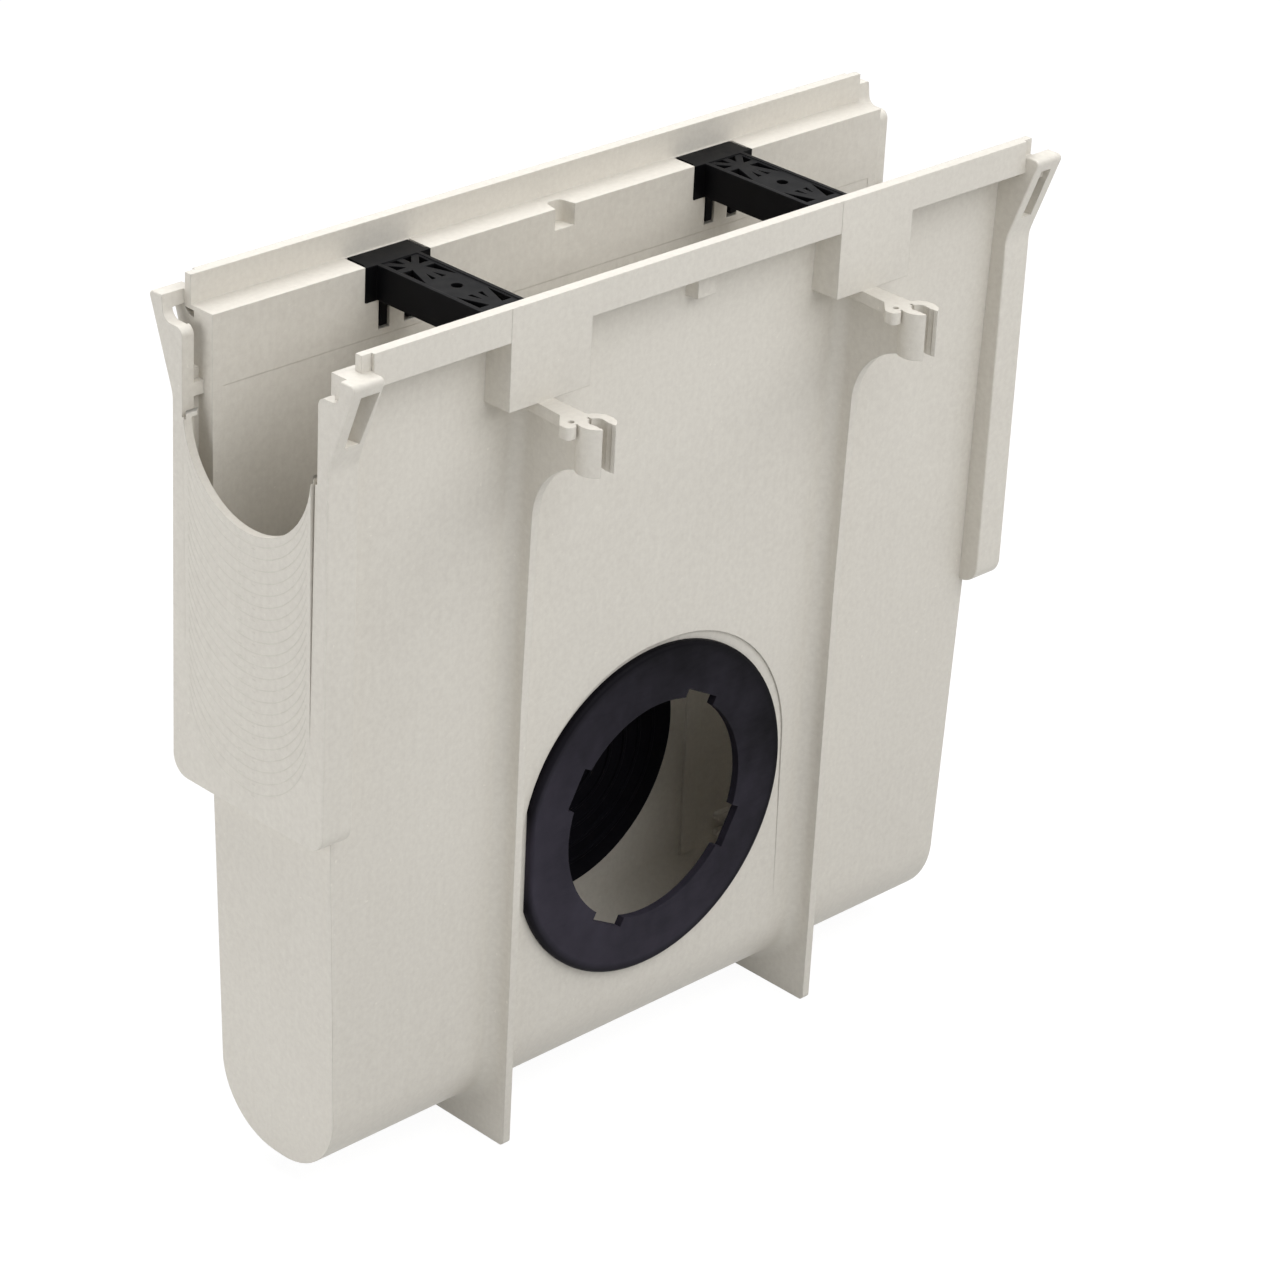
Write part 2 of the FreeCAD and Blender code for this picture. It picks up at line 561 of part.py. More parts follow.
def basin_hollow(body, dim):
    """Clear the inside, the collar slots, the channel notches and the crossbar seats."""
    sketch = new_sketch(body, "inside_section", "YZ_Plane")
    stepped_half = dim.ledge_half + dim.wall_step
    low_inner = dim.wall_low_half - dim.wall_thick
    inner_round = dim.trough_round - dim.wall_thick
    outline(sketch, symmetric([
        (low_inner, dim.trough_low + dim.wall_thick, inner_round),
        (dim.wall_mid_half - dim.wall_thick, dim.wall_mid_up),
        (stepped_half, dim.wall_step_up),
        (dim.ledge_half, dim.wall_step_up),
        (dim.ledge_half, dim.height),
    ]))
    inside_half = dim.end_low_half - dim.wall_thick
    extrude(body, "Pocket", "inside", sketch, inside_half * 2, both_ways=True)

    sketch = new_sketch(body, "inside_end_outline", "XZ_Plane")
    end = [
        (inside_half - dim.wall_thick, dim.trough_low + dim.trough_round),
        (inside_half, dim.trough_low + dim.trough_round),
        (dim.end_high_half - dim.wall_thick, dim.collar_low),
        (dim.wall_step_end, dim.wall_mid_up),
        (inside_half - dim.wall_thick, dim.wall_mid_up),
    ]
    outline(sketch, end)
    outline(sketch, mirrored(end))
    extrude(body, "Pocket", "inside_ends", sketch, low_inner * 2, both_ways=True)

    sketch = new_sketch(body, "upper_section", "YZ_Plane")
    collar_floor = dim.collar_low + dim.gap_floor
    outline(sketch, symmetric([
        (low_inner, collar_floor),
        (dim.wall_mid_half - dim.wall_thick - dim.wall_step, dim.wall_mid_up),
        (dim.ledge_half, dim.wall_step_up),
        (dim.ledge_half, dim.height),
    ]))
    arm_start = dim.collar_out - dim.arm_thick
    extrude(body, "Pocket", "upper_inside", sketch, arm_start * 2, both_ways=True)

    sketch = new_sketch(body, "upper_step_section", "YZ_Plane")
    outline(sketch, symmetric([
        (low_inner, collar_floor),
        (dim.wall_mid_half - dim.wall_thick, dim.wall_mid_up),
        (stepped_half, dim.wall_step_up),
    ]))
    extrude(body, "Pocket", "upper_step", sketch, dim.wall_step_end * 2, both_ways=True)

    slot_start = dim.rim_length * 0.5
    sketch = new_sketch(body, "slot_section", "YZ_Plane", slot_start)
    outline(sketch, symmetric([
        (dim.gap_half, collar_floor, dim.gap_round),
        (dim.gap_half, dim.height),
    ]))
    slot = extrude(body, "Pocket", "slot", sketch, arm_start - slot_start)

    sketch = new_sketch(body, "panel_back_section", "YZ_Plane", arm_start)
    outline(sketch, symmetric([
        (dim.arm_half, collar_floor, dim.gap_round),
        (dim.arm_half, dim.notch_shoulder),
    ]))
    panel_back = extrude(body, "Pocket", "panel_back", sketch, dim.arm_thick - dim.panel_thick)

    sketch = new_sketch(body, "notch_section", "YZ_Plane", arm_start)
    arm_crown = dim.arm_half + dim.arm_round * PAST_EDGE
    outline(sketch, symmetric([
        (dim.notch_half, dim.notch_low, dim.notch_round),
        (dim.notch_half, dim.notch_shoulder),
        (dim.arm_half, dim.notch_shoulder),
        (dim.arm_half, dim.arm_top, dim.arm_round),
        (arm_crown, dim.arm_top),
        (arm_crown, dim.ledge_top),
    ]))
    notch = extrude(body, "Pocket", "notch", sketch, dim.arm_thick + dim.panel_proud * 2)

    sketch = new_sketch(body, "slit_section", "YZ_Plane", dim.collar_out - dim.slit_deep)
    slit = [
        (dim.notch_half, dim.panel_flush),
        (dim.notch_half + dim.slit_wide, dim.notch_shoulder),
        (dim.notch_half, dim.notch_shoulder),
    ]
    outline(sketch, slit)
    outline(sketch, mirrored(slit))
    slits = extrude(body, "Pocket", "slits", sketch, dim.slit_deep + dim.panel_proud * 2)
    mirror(body, "both_hollow_ends", [slot, panel_back, notch, slits], "YZ_Plane")

    sketch = new_sketch(body, "crossbar_seat_outline", "XZ_Plane")
    for end in SIDES:
        middle = dim.station * end - dim.bar_shift
        reach = dim.leg_wide * 0.5 + dim.head_play
        box(sketch, middle - reach, middle + reach, dim.seat_low, dim.height)
    extrude(body, "Pocket", "crossbar_seats", sketch, (dim.head_half + dim.head_play) * 2, both_ways=True)

    sketch = new_sketch(body, "prong_socket_outline", "XZ_Plane")
    for end in SIDES:
        middle = dim.station * end - dim.bar_shift
        for side in SIDES:
            inner = middle + dim.post_half * side
            outer = middle + dim.seat_mouth * 0.5 * side
            box(sketch, inner, outer, dim.seat_floor, dim.seat_low)
    extrude(body, "Pocket", "prong_sockets", sketch, (dim.rim_half - dim.pocket_skin) * 2, both_ways=True)


def tab_slots(sketch, dim, end, inner):
    """Slots of the two tabs at one end; the one at the front left widens outwards."""
    far = dim.tab_slot_out * end
    for side in SIDES:
        widens = end < 0 and side < 0
        near = dim.tab_slot_in * end
        lip = dim.tab_slot_lip * end if widens else near
        outer = dim.tab_out_half * side
        outline(sketch, [(near, inner * side), (far, inner * side), (far, outer), (lip, outer)])


def clip_mouth(sketch, dim, axis, side):
    """Slit and toothed, widening mouth of a clip, as one outline from the slit's end to the jaw tips."""
    tips = dim.clip_half + dim.clip_outer
    half = [
        (dim.clip_slit, dim.clip_root),
        (dim.clip_slit, dim.clip_half),
        (dim.clip_mouth, dim.clip_half),
        (dim.clip_mouth + dim.clip_bite, dim.clip_half + dim.clip_tooth),
        (dim.clip_mouth, dim.clip_half + dim.clip_tooth),
        (dim.clip_mouth + dim.clip_bite, dim.clip_half + dim.clip_tooth * 2),
        (dim.clip_mouth, dim.clip_half + dim.clip_tooth * 2),
        (dim.clip_flare, tips),
    ]
    right = [(axis + across, along * side) for across, along in half]
    left = [(axis - across, along * side) for across, along in reversed(half)]
    outline(sketch, right + left)


def basin_cuts(body, dim):
    """Key, tab slots, clip bores, tie holes, centre marks, rim ends and outlet holes."""
    sketch = new_sketch(body, "key_outline", "XY_Plane", dim.arm_top - dim.arm_round)
    key_far = -dim.rim_length * 0.5 - dim.key_long
    box(sketch, key_far, -dim.collar_in, -dim.tab_in_top, dim.key_wide - dim.tab_in_low)
    extrude(body, "Pad", "key", sketch, dim.tab_top - dim.arm_top + dim.arm_round)

    sketch = new_sketch(body, "left_tab_slot_outline", "XY_Plane", dim.tab_slot_low)
    tab_slots(sketch, dim, -1, dim.gap_half)
    extrude(body, "Pocket", "left_tab_slots", sketch, dim.tab_slot_top - dim.tab_slot_low)

    sketch = new_sketch(body, "right_tab_slot_outline", "XY_Plane", dim.tab_slot_low)
    tab_slots(sketch, dim, 1, dim.gap_half)
    extrude(body, "Pocket", "right_tab_slots", sketch, dim.tab_slot_head - dim.tab_slot_low)

    sketch = new_sketch(body, "right_slot_head_outline", "XY_Plane", dim.tab_slot_low)
    tab_slots(sketch, dim, 1, dim.tab_skin_half)
    extrude(body, "Pocket", "right_slot_heads", sketch, dim.tab_slot_top - dim.tab_slot_low)

    sketch = new_sketch(body, "bore_outline", "XY_Plane", dim.clip_low)
    for end in SIDES:
        for side in SIDES:
            circle(sketch, dim.station * end - dim.clip_shift, dim.clip_half * side, dim.clip_inner)
            circle(sketch, dim.station * end - dim.lug_hole_reach, dim.lug_hole_half * side, dim.lug_hole)
    extrude(body, "Pocket", "bores", sketch, dim.wall_step_up - dim.clip_low)

    sketch = new_sketch(body, "mouth_outline", "XY_Plane", dim.clip_low)
    for end in SIDES:
        for side in SIDES:
            clip_mouth(sketch, dim, dim.station * end - dim.clip_shift, side)
    extrude(body, "Pocket", "mouths", sketch, dim.wall_step_up - dim.clip_low)

    sketch = new_sketch(body, "mark_outline", "XY_Plane", dim.mark_low)
    for side in SIDES:
        middle = dim.mark_shift * -side
        outline(sketch, [
            (middle - dim.mark_half, dim.ledge_half * side),
            (middle + dim.mark_half, dim.ledge_half * side),
            (middle + dim.mark_back_half, dim.mark_back * side, dim.mark_round),
            (middle - dim.mark_back_half, dim.mark_back * side, dim.mark_round),
        ])
    extrude(body, "Pocket", "marks", sketch, dim.ledge_top - dim.mark_low)

    sketch = new_sketch(body, "rim_step_section", "YZ_Plane", dim.rim_length * 0.5 - dim.rim_end)
    step = [
        (dim.rim_half - dim.rim_step, dim.tab_top),
        (dim.tab_out_half, dim.tab_top),
        (dim.tab_out_half, dim.height),
        (dim.rim_half - dim.rim_step, dim.height),
    ]
    outline(sketch, step)
    outline(sketch, mirrored(step))
    rim_step = extrude(body, "Pocket", "rim_steps", sketch, dim.rim_end)
    mirror(body, "both_rim_steps", [rim_step], "YZ_Plane")

    sketch = new_sketch(body, "outlet_outline", "XZ_Plane")
    circle(sketch, dim.outlet_x, dim.outlet_up, dim.outlet_hole)
    extrude(body, "Pocket", "outlets", sketch, both_ways=True)


def basin_inner_ribs(body, dim):
    """Bridges across the collar slots, and the bands and pegs inside the long walls."""
    sketch = new_sketch(body, "bridge_section", "YZ_Plane", dim.rim_length * 0.5)
    for side in SIDES:
        inner = dim.arm_half * side
        outer = dim.gap_half * side
        box(sketch, inner, outer, dim.bridge_low, dim.bridge_low + dim.bridge_tall)
    bridge = extrude(body, "Pad", "bridge", sketch, dim.collar_out - dim.arm_thick - dim.rim_length * 0.5)
    mirror(body, "both_bridges", [bridge], "YZ_Plane")

    sketch = new_sketch(body, "band_section", "YZ_Plane", dim.band_near)
    wall_face = dim.wall_low_half - dim.wall_thick
    wall_face_high = dim.wall_mid_half - dim.wall_thick
    band_low = dim.trough_low + dim.trough_round
    band = [
        (wall_face - dim.band_proud, band_low),
        (wall_face + dim.band_proud, band_low),
        (wall_face_high + dim.band_proud, dim.wall_mid_up),
        (wall_face_high - dim.band_proud, dim.wall_mid_up),
    ]
    outline(sketch, band)
    outline(sketch, mirrored(band))
    bands = extrude(body, "Pad", "bands", sketch, dim.band_far - dim.band_near)
    mirror(body, "both_bands", [bands], "YZ_Plane")

    sketch = new_sketch(body, "peg_outline", "XZ_Plane", -wall_face - dim.wall_thick * 0.5)
    half_peg = dim.peg_tall * 0.5
    for far, up in ((dim.peg_far, dim.peg_up), (dim.peg_far_low, dim.peg_up_low)):
        box(sketch, dim.peg_near, far, up - half_peg, up + half_peg, dim.peg_round)
    extrude(body, "Pad", "pegs", sketch, dim.peg_proud + dim.wall_thick * 0.5)


def basin_body(document, dim):
    """The one-piece moulding."""
    body = new_body(document, "basin_body")
    basin_shell(document, body, dim)
    basin_details(body, dim)
    basin_hollow(body, dim)
    basin_cuts(body, dim)
    basin_inner_ribs(body, dim)
    return body


def star_openings(sketch, dim, across, along):
    """Four three-cornered windows in a quarter of the crossbar, between the spokes of a star."""
    windows = (
        ((dim.spoke_half, dim.far_tip), (dim.spoke_half, dim.star_far), (dim.far_corner, dim.star_far)),
        ((dim.side_tip, dim.cross_far), (dim.star_half, dim.cross_far), (dim.star_half, dim.side_corner)),
        ((dim.side_tip, dim.cross_near), (dim.star_half, dim.cross_near), (dim.star_half, dim.star_near)),
        ((dim.spoke_half, dim.slot_far), (dim.spoke_half, dim.slot_near), (dim.slot_corner, dim.slot_near)),
    )
    for window in windows:
        outline(sketch, [(x * across, y * along) for x, y in window])


def crossbar(document, dim, label, end):
    """Black cross piece: pierced top plate, side walls, end plates on the shoulders, and prongs."""
    body = new_body(document, label)
    plate_low = dim.ledge_top - dim.bar_plate

    sketch = new_sketch(body, "plate_outline", "XY_Plane", plate_low)
    half_head = dim.head_wide * 0.5
    half_bar = dim.bar_wide * 0.5
    outline(sketch, [
        (half_bar, -dim.bar_half),
        (half_bar, dim.bar_half),
        (half_head, dim.bar_half),
        (half_head, dim.head_half),
        (-half_head, dim.head_half),
        (-half_head, dim.bar_half),
        (-half_bar, dim.bar_half),
        (-half_bar, -dim.bar_half),
        (-half_head, -dim.bar_half),
        (-half_head, -dim.head_half),
        (half_head, -dim.head_half),
        (half_head, -dim.bar_half),
    ])
    extrude(body, "Pad", "plate", sketch, dim.bar_plate)

    sketch = new_sketch(body, "skirt_outline", "XY_Plane", dim.bar_low)
    for side in SIDES:
        inner = (half_bar - dim.bar_skirt) * side
        outer = half_bar * side
        box(sketch, inner, outer, -dim.bar_half, dim.bar_half)
    extrude(body, "Pad", "skirts", sketch, dim.ledge_top - dim.bar_low)

    sketch = new_sketch(body, "leg_outline", "XY_Plane", dim.seat_low)
    half_leg = dim.leg_wide * 0.5
    for side in SIDES:
        outer = (dim.bar_half + dim.leg_thick) * side
        box(sketch, -half_leg, half_leg, dim.bar_half * side, outer)
    extrude(body, "Pad", "legs", sketch, dim.ledge_top - dim.seat_low)

    sketch = new_sketch(body, "prong_outline", "XY_Plane", dim.prong_low)
    for across in SIDES:
        middle = dim.prong_reach * across
        for side in SIDES:
            inner = dim.bar_half * side
            outer = (dim.bar_half + dim.leg_thick) * side
            half_prong = dim.prong_wide * 0.5
            box(sketch, middle - half_prong, middle + half_prong, inner, outer)
    extrude(body, "Pad", "prongs", sketch, dim.ledge_top - dim.prong_low)

    sketch = new_sketch(body, "recess_outline", "XY_Plane", dim.ledge_top - dim.bar_recess)
    recess_half = half_bar - dim.bar_skirt
    box(sketch, -recess_half, recess_half, -dim.bar_half, dim.bar_half)
    extrude(body, "Pocket", "recess", sketch, dim.bar_recess)

    sketch = new_sketch(body, "piercing_outline", "XY_Plane", plate_low)
    circle(sketch, 0, 0, dim.bolt_hole)
    for across in SIDES:
        for along in SIDES:
            star_openings(sketch, dim, across, along)
    extrude(body, "Pocket", "piercings", sketch, dim.bar_plate)

    body.setExpression("Placement.Base.x", (dim.station * end - dim.bar_shift).formula)
    return body


def place_on_outlet(body, dim):
    """Move a round piece, drawn about the Y axis, onto the outlet axis."""
    body.setExpression("Placement.Base.x", dim.outlet_x.formula)
    body.setExpression("Placement.Base.z", dim.outlet_up.formula)


def cut_flat(body, dim):
    """Trim the flange on its left, where it passes the side rib."""
    sketch = new_sketch(body, "flat_outline", "XZ_Plane")
    box(sketch, -dim.ring_outer * PAST_EDGE, -dim.ring_flat, -dim.ring_outer, dim.ring_outer)
    extrude(body, "Pocket", "flat", sketch, both_ways=True)


def outlet_ring(document, dim):
    """Flat ring with a notched opening and a short spigot in the front wall."""
    body = new_body(document, "front_outlet_ring")
    sketch = new_sketch(body, "flange_circle", "XZ_Plane", dim.seat_half)
    circle(sketch, 0, 0, dim.ring_outer)
    extrude(body, "Pad", "flange", sketch, dim.ring_thick)

    sketch = new_sketch(body, "spigot_circle", "XZ_Plane", dim.seat_half - dim.spigot_deep)
    circle(sketch, 0, 0, dim.spigot_outer)
    extrude(body, "Pad", "spigot", sketch, dim.spigot_deep)

    sketch = new_sketch(body, "spigot_bore_circle", "XZ_Plane", dim.seat_half - dim.spigot_deep)
    circle(sketch, 0, 0, dim.spigot_outer - dim.spigot_wall)
    extrude(body, "Pocket", "spigot_bore", sketch, dim.spigot_deep)
    cut_flat(body, dim)
    trimmed = body.Tip

    front = -(dim.seat_half + dim.ring_thick).number

    def on_front_rim(point):
        return abs(point.y - front) < TINY

    fillet(document, body, "rounded_rim", trimmed, dim.ring_edge, on_front_rim)

    sketch = new_sketch(body, "opening_circle", "XZ_Plane")
    circle(sketch, 0, 0, dim.ring_inner)
    extrude(body, "Pocket", "opening", sketch, both_ways=True)

    sketch = new_sketch(body, "notch_outline", "XZ_Plane")
    box(sketch, 0, dim.ring_notch, -dim.ring_notch_wide * 0.5, dim.ring_notch_wide * 0.5)
    sketch.AttachmentOffset = FreeCAD.Placement(
        FreeCAD.Vector(), FreeCAD.Rotation(FreeCAD.Vector(0, 0, 1), dim.ring_notch_turn.number)
    )
    sketch.setExpression("AttachmentOffset.Rotation.Angle", dim.ring_notch_turn.formula)
    notch = extrude(body, "Pocket", "ring_notch", sketch, both_ways=True)
    pattern = body.newObject("PartDesign::PolarPattern", "ring_notches")
    pattern.Originals = [notch]
    pattern.Axis = (origin_feature(body, "Y_Axis"), [""])
    pattern.Angle = FULL_TURN
    pattern.Occurrences = RING_NOTCHES
    body.Tip = pattern
    place_on_outlet(body, dim)
    return body


def outlet_plug(document, dim):
    """Closed plug in the rear wall: flange outside, spigot inwards, ridged face at its inner end."""
    body = new_body(document, "rear_outlet_cap")
    sketch = new_sketch(body, "plug_profile", "XY_Plane")
    ridge_top = dim.plug_face - dim.plug_ridge
    half_ridge = dim.plug_ridge_wide * 0.5
    face = [(0, dim.plug_face)]
    for number in range(1, PLUG_RIDGES + 1):
        middle = dim.plug_ridge_step * number
        face += [
            (middle - half_ridge, dim.plug_face),
            (middle - half_ridge, ridge_top),
            (middle + half_ridge, ridge_top),
            (middle + half_ridge, dim.plug_face),
        ]
    bore = dim.spigot_outer - dim.spigot_wall
    flange_top = dim.seat_half + dim.ring_thick
    outline(sketch, face + [
        (dim.spigot_outer, dim.plug_face),
        (dim.spigot_outer, dim.seat_half),
        (dim.ring_outer, dim.seat_half),
        (dim.ring_outer, flange_top, dim.ring_edge),
        (bore, flange_top),
        (bore, dim.plug_face + dim.plug_disc),
        (0, dim.plug_face + dim.plug_disc),
    ])
    turned = body.newObject("PartDesign::Revolution", "plug")
    turned.Profile = sketch
    turned.ReferenceAxis = (sketch, ["V_Axis"])
    turned.Angle = FULL_TURN
    cut_flat(body, dim)
    place_on_outlet(body, dim)
    return body


def check(document, pieces):
    """Stop if any feature failed or any piece is not one sound solid."""
    failed = [item.Name for item in document.Objects if {"Invalid", "Error"} & set(item.State)]
    if failed:
        raise RuntimeError(f"failed features: {failed}")
    for piece in pieces:
        shape = piece.Shape
        if shape.isNull() or not shape.isValid() or len(shape.Solids) != 1:
            raise RuntimeError(f"{piece.Label} is not one sound solid")
        box_size = shape.BoundBox
        print(f"{piece.Label}: {shape.Volume / 1000:.1f} cm3, {box_size}")


def main():
    """Build every piece and write it to its own file."""
    document = FreeCAD.newDocument("catch_basin")
    dim = Sizes(document, SIZES)
    pieces = [
        basin_body(document, dim),
        crossbar(document, dim, "left_crossbar", -1),
        crossbar(document, dim, "right_crossbar", 1),
        outlet_ring(document, dim),
        outlet_plug(document, dim),
    ]
    document.recompute()
    check(document, pieces)
    os.makedirs("parts", exist_ok=True)
    for piece in pieces:
        piece.Shape.exportStep(f"parts/{piece.Label}.step")


main()
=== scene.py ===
"""Looks of a moulded catch basin for a drainage channel: plastics, cutting guides and a plain studio.

Metres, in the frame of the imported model: +Z up, X along the channel, the open outlet towards -Y.
"""

import bmesh
import bpy
import math
from bpy.props import FloatProperty, FloatVectorProperty, IntProperty, PointerProperty
from mathutils import Matrix, Vector


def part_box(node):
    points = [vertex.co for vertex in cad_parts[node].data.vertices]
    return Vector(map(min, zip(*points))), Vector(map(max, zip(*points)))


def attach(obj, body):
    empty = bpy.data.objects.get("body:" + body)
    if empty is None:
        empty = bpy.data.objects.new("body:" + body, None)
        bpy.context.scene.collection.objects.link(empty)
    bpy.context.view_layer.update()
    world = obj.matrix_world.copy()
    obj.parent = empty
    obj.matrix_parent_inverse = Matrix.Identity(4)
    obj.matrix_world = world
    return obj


bl_info = {
    "name": "Catch basin",
    "version": (1, 0, 0),
    "blender": (4, 5, 0),
    "location": "View3D > Sidebar > Catch basin",
    "description": "Finishes a moulded catch basin and stands it in a plain studio",
    "category": "Add Mesh",
}

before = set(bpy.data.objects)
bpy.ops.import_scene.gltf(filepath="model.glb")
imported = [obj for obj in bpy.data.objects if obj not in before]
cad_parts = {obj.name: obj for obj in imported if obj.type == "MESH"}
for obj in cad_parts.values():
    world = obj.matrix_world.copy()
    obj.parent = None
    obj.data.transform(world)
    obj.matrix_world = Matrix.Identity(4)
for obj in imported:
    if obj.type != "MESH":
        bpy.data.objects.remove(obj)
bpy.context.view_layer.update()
BODY = "root"
MM = 0.001
BASIN_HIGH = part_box("basin_body")[1]

# The knock-out panel leans out from where it is flush with its collar.
PANEL_PROUD = 1.6 * MM
PANEL_FLUSH = 300 * MM
PANEL_TOP = 450 * MM
PANEL_OUT = BASIN_HIGH.x - PANEL_PROUD

# Kinds of node that the materials share.
NOISE = "ShaderNodeTexNoise"
MAPPING = "ShaderNodeMapping"
RANGE = "ShaderNodeMapRange"
BUMP = "ShaderNodeBump"
BEVEL = "ShaderNodeBevel"
MATH = "ShaderNodeMath"
MIX = "ShaderNodeMix"
MIX_SHADER = "ShaderNodeMixShader"

# Settings of a sum and of a mix of colours, and the mix's two colour inputs and its output.
WEIGHTED_SUM = {"operation": "MULTIPLY_ADD"}
COLOURS = {"data_type": "RGBA", "clamp_factor": True}
FIRST, SECOND, MIXED = 6, 7, 2

# Grain of a moulded surface in millimetres, drawn coarser than a mould's so that it shows.
GRAIN_SIZE = 0.9
GRAIN_DEPTH = 0.05 * MM
EDGE_SAMPLES = 6

# White light, and the middles of the softboxes in metres.
WHITE = (1, 1, 1, 1)
SOFTBOXES = {
    "key": (1.3, -1.3, 2.2),
    "front": (-0.2, -2.0, 2.2),
    "top": (0.0, 1.1, 2.6),
    "left": (-2.7, 0.5, 0.7),
}

# Floor paper: its tones, and the white glow that is mixed in where it is looked at.
PAPER_SHADE = "#D6D6D5"
PAPER_LIGHT = "#DCDCDB"
PAPER_FIBRE = 3
GLOW_STRENGTH = 1.14
GLOW_SHARE = 0.82


def linear(code):
    """Linear red, green and blue of an sRGB hex code."""
    parts = [int(code[start:start + 2], 16) / 255 for start in (1, 3, 5)]
    return [part / 12.92 if part <= 0.04045 else ((part + 0.055) / 1.055) ** 2.4 for part in parts]


def colour(name, description, code):
    """A colour that a user can change, with its default given as an sRGB hex code."""
    return FloatVectorProperty(
        name=name, description=description, subtype="COLOR", size=3, min=0.0, max=1.0, default=linear(code)
    )


def length(name, description, millimetres):
    """A length that a user can change, with its default given in millimetres."""
    return FloatProperty(
        name=name, description=description, unit="LENGTH", precision=5, min=0.0, default=millimetres * MM
    )


def angle(name, description, degrees):
    """An angle that a user can change, with its default given in degrees."""
    return FloatProperty(name=name, description=description, subtype="ANGLE", default=math.radians(degrees))


def power(name, description, watts):
    """A lamp's power that a user can change, with its default given in watts."""
    return FloatProperty(name=name, description=description, unit="POWER", min=0.0, default=watts)


class CatchBasinFinish(bpy.types.PropertyGroup):
    """Colours of the plastics and softness of the moulded edges."""

    body_light: colour("Body, light", "Light tone of the grey polypropylene", "#DCD8CF")
    body_shade: colour("Body, shade", "Darker tone of the grey polypropylene", "#CFCAC1")
    # The guides' tones are darker than the body's as painted shade along the thin ribs and marks.
    guide_light: colour("Guides, light", "Light tone of the cutting guides", "#D4D0C7")
    guide_shade: colour("Guides, shade", "Darker tone of the cutting guides", "#C9C5BB")
    bar_light: colour("Crossbar, light", "Light tone of the black polyamide", "#0F0F11")
    bar_shade: colour("Crossbar, shade", "Darker tone of the black polyamide", "#070708")
    # The ring's light tone is its mottle and also a painted sheen on its low left; its dark tone also paints
    # shade on its round edge.
    ring_light_and_sheen: colour("Ring, light", "Light tone of the blue-black polypropylene", "#393640")
    ring_shade: colour("Ring, shade", "Darker tone of the blue-black polypropylene", "#09080C")
    # The cap is black plastic, and its tones are darker still as painted shade for the shadow it sits in
    # inside the basin.
    shaded_cap_light: colour("Cap, light", "Light tone of the cap, the darker of the two", "#15141A")
    shaded_cap_dark: colour("Cap, shade", "Darker tone of the cap", "#060607")
    edge_radius: length("Edge radius", "Radius that catches the light along moulded edges", 0.7)
    guide_edge_radius: length("Guide edge radius", "Edge radius of the cutting guides", 0.08)


class CatchBasinGuides(bpy.types.PropertyGroup):
    """Cutting guides and graduation marks on the knock-out panels."""

    count: IntProperty(name="Guides", description="Number of guides on a panel", default=22, min=1)
    top: length("First guide", "Height of the first guide's lowest point", 399)
    spacing: length("Spacing", "Height between guides", 6.9)
    radius: length("Radius", "Radius of a guide, as of the channel notch", 49.6)
    width: length("Width", "Width of a guide", 0.55)
    proud: length("Proud", "Height of a guide above the panel", 0.12)
    sweep: angle("Sweep", "Angle that a guide covers", 146)
    mark_long: length("Mark length", "Length of a graduation mark", 2.6)
    mark_thick: length("Mark thickness", "Thickness of a graduation mark", 0.8)
    mark_reach: length("Mark reach", "Distance of the marks from the panel's middle", 5.5)
    mark_edge: length("Mark edge", "Rounded edge of a graduation mark", 0.1)


class CatchBasinStage(bpy.types.PropertyGroup):
    """Camera, floor and light."""

    azimuth: angle("Azimuth", "Turn of the camera from the front", -45.53)
    elevation: angle("Elevation", "Camera above the horizon", 26.88)
    roll: angle("Roll", "Camera roll", 2.93)
    distance: length("Distance", "Camera from the point it looks at", 2527.5)
    target: FloatVectorProperty(
        name="Target", description="Point that the camera looks at", subtype="XYZ", unit="LENGTH", size=3,
        default=(0.0256, 0.0, 0.2491),
    )
    lens: FloatProperty(name="Lens", description="Focal length in millimetres", default=124.9, min=1.0)
    floor_size: length("Floor", "Half length of the floor", 9000)
    softbox_size: length("Softbox", "Side of a softbox", 2000)
    world_light: FloatProperty(name="World", description="Strength of the even light", default=0.17, min=0.0)
    key_light: power("Key light", "Power of the softbox high on the right", 24.0)
    front_light: power("Front light", "Power of the softbox high in front", 35.0)
    top_light: power("Top light", "Power of the softbox above and behind", 56.0)
    left_light: power("Left light", "Power of the softbox low on the left", 31.5)


def add(tree, kind, settings=None, inputs=None):
    """Add a node with its settings, and set its inputs or link them. A node stands for its first output."""
    node = tree.nodes.new(kind)
    for name, value in (settings or {}).items():
        setattr(node, name, value)
    for socket, value in (inputs or {}).items():
        source = value.outputs[0] if isinstance(value, bpy.types.Node) else value
        if isinstance(source, bpy.types.NodeSocket):
            tree.links.new(source, node.inputs[socket])
        else:
            node.inputs[socket].default_value = source
    return node


def per_metre(millimetres):
    """Scale of a texture whose detail has this size."""
    return 1 / (millimetres * MM)


def opaque(rgb):
    """A colour with full alpha, as a socket takes it."""
    return (*rgb, 1.0)


def new_material(name):
    """An empty node material, its tree and its Object coordinates."""
    material = bpy.data.materials.new(name)
    material.use_nodes = True
    tree = material.node_tree
    tree.nodes.clear()
    return material, tree, add(tree, "ShaderNodeTexCoord").outputs["Object"]


def plastic(tree, tone, gloss, normal, shine):
    """End the tree with a plastic surface."""
    surface = {"Base Color": tone, "Roughness": gloss, "IOR": 1.5, "Specular IOR Level": shine}
    shader = add(tree, "ShaderNodeBsdfPrincipled", None, {**surface, "Normal": normal})
    add(tree, "ShaderNodeOutputMaterial", None, {"Surface": shader})


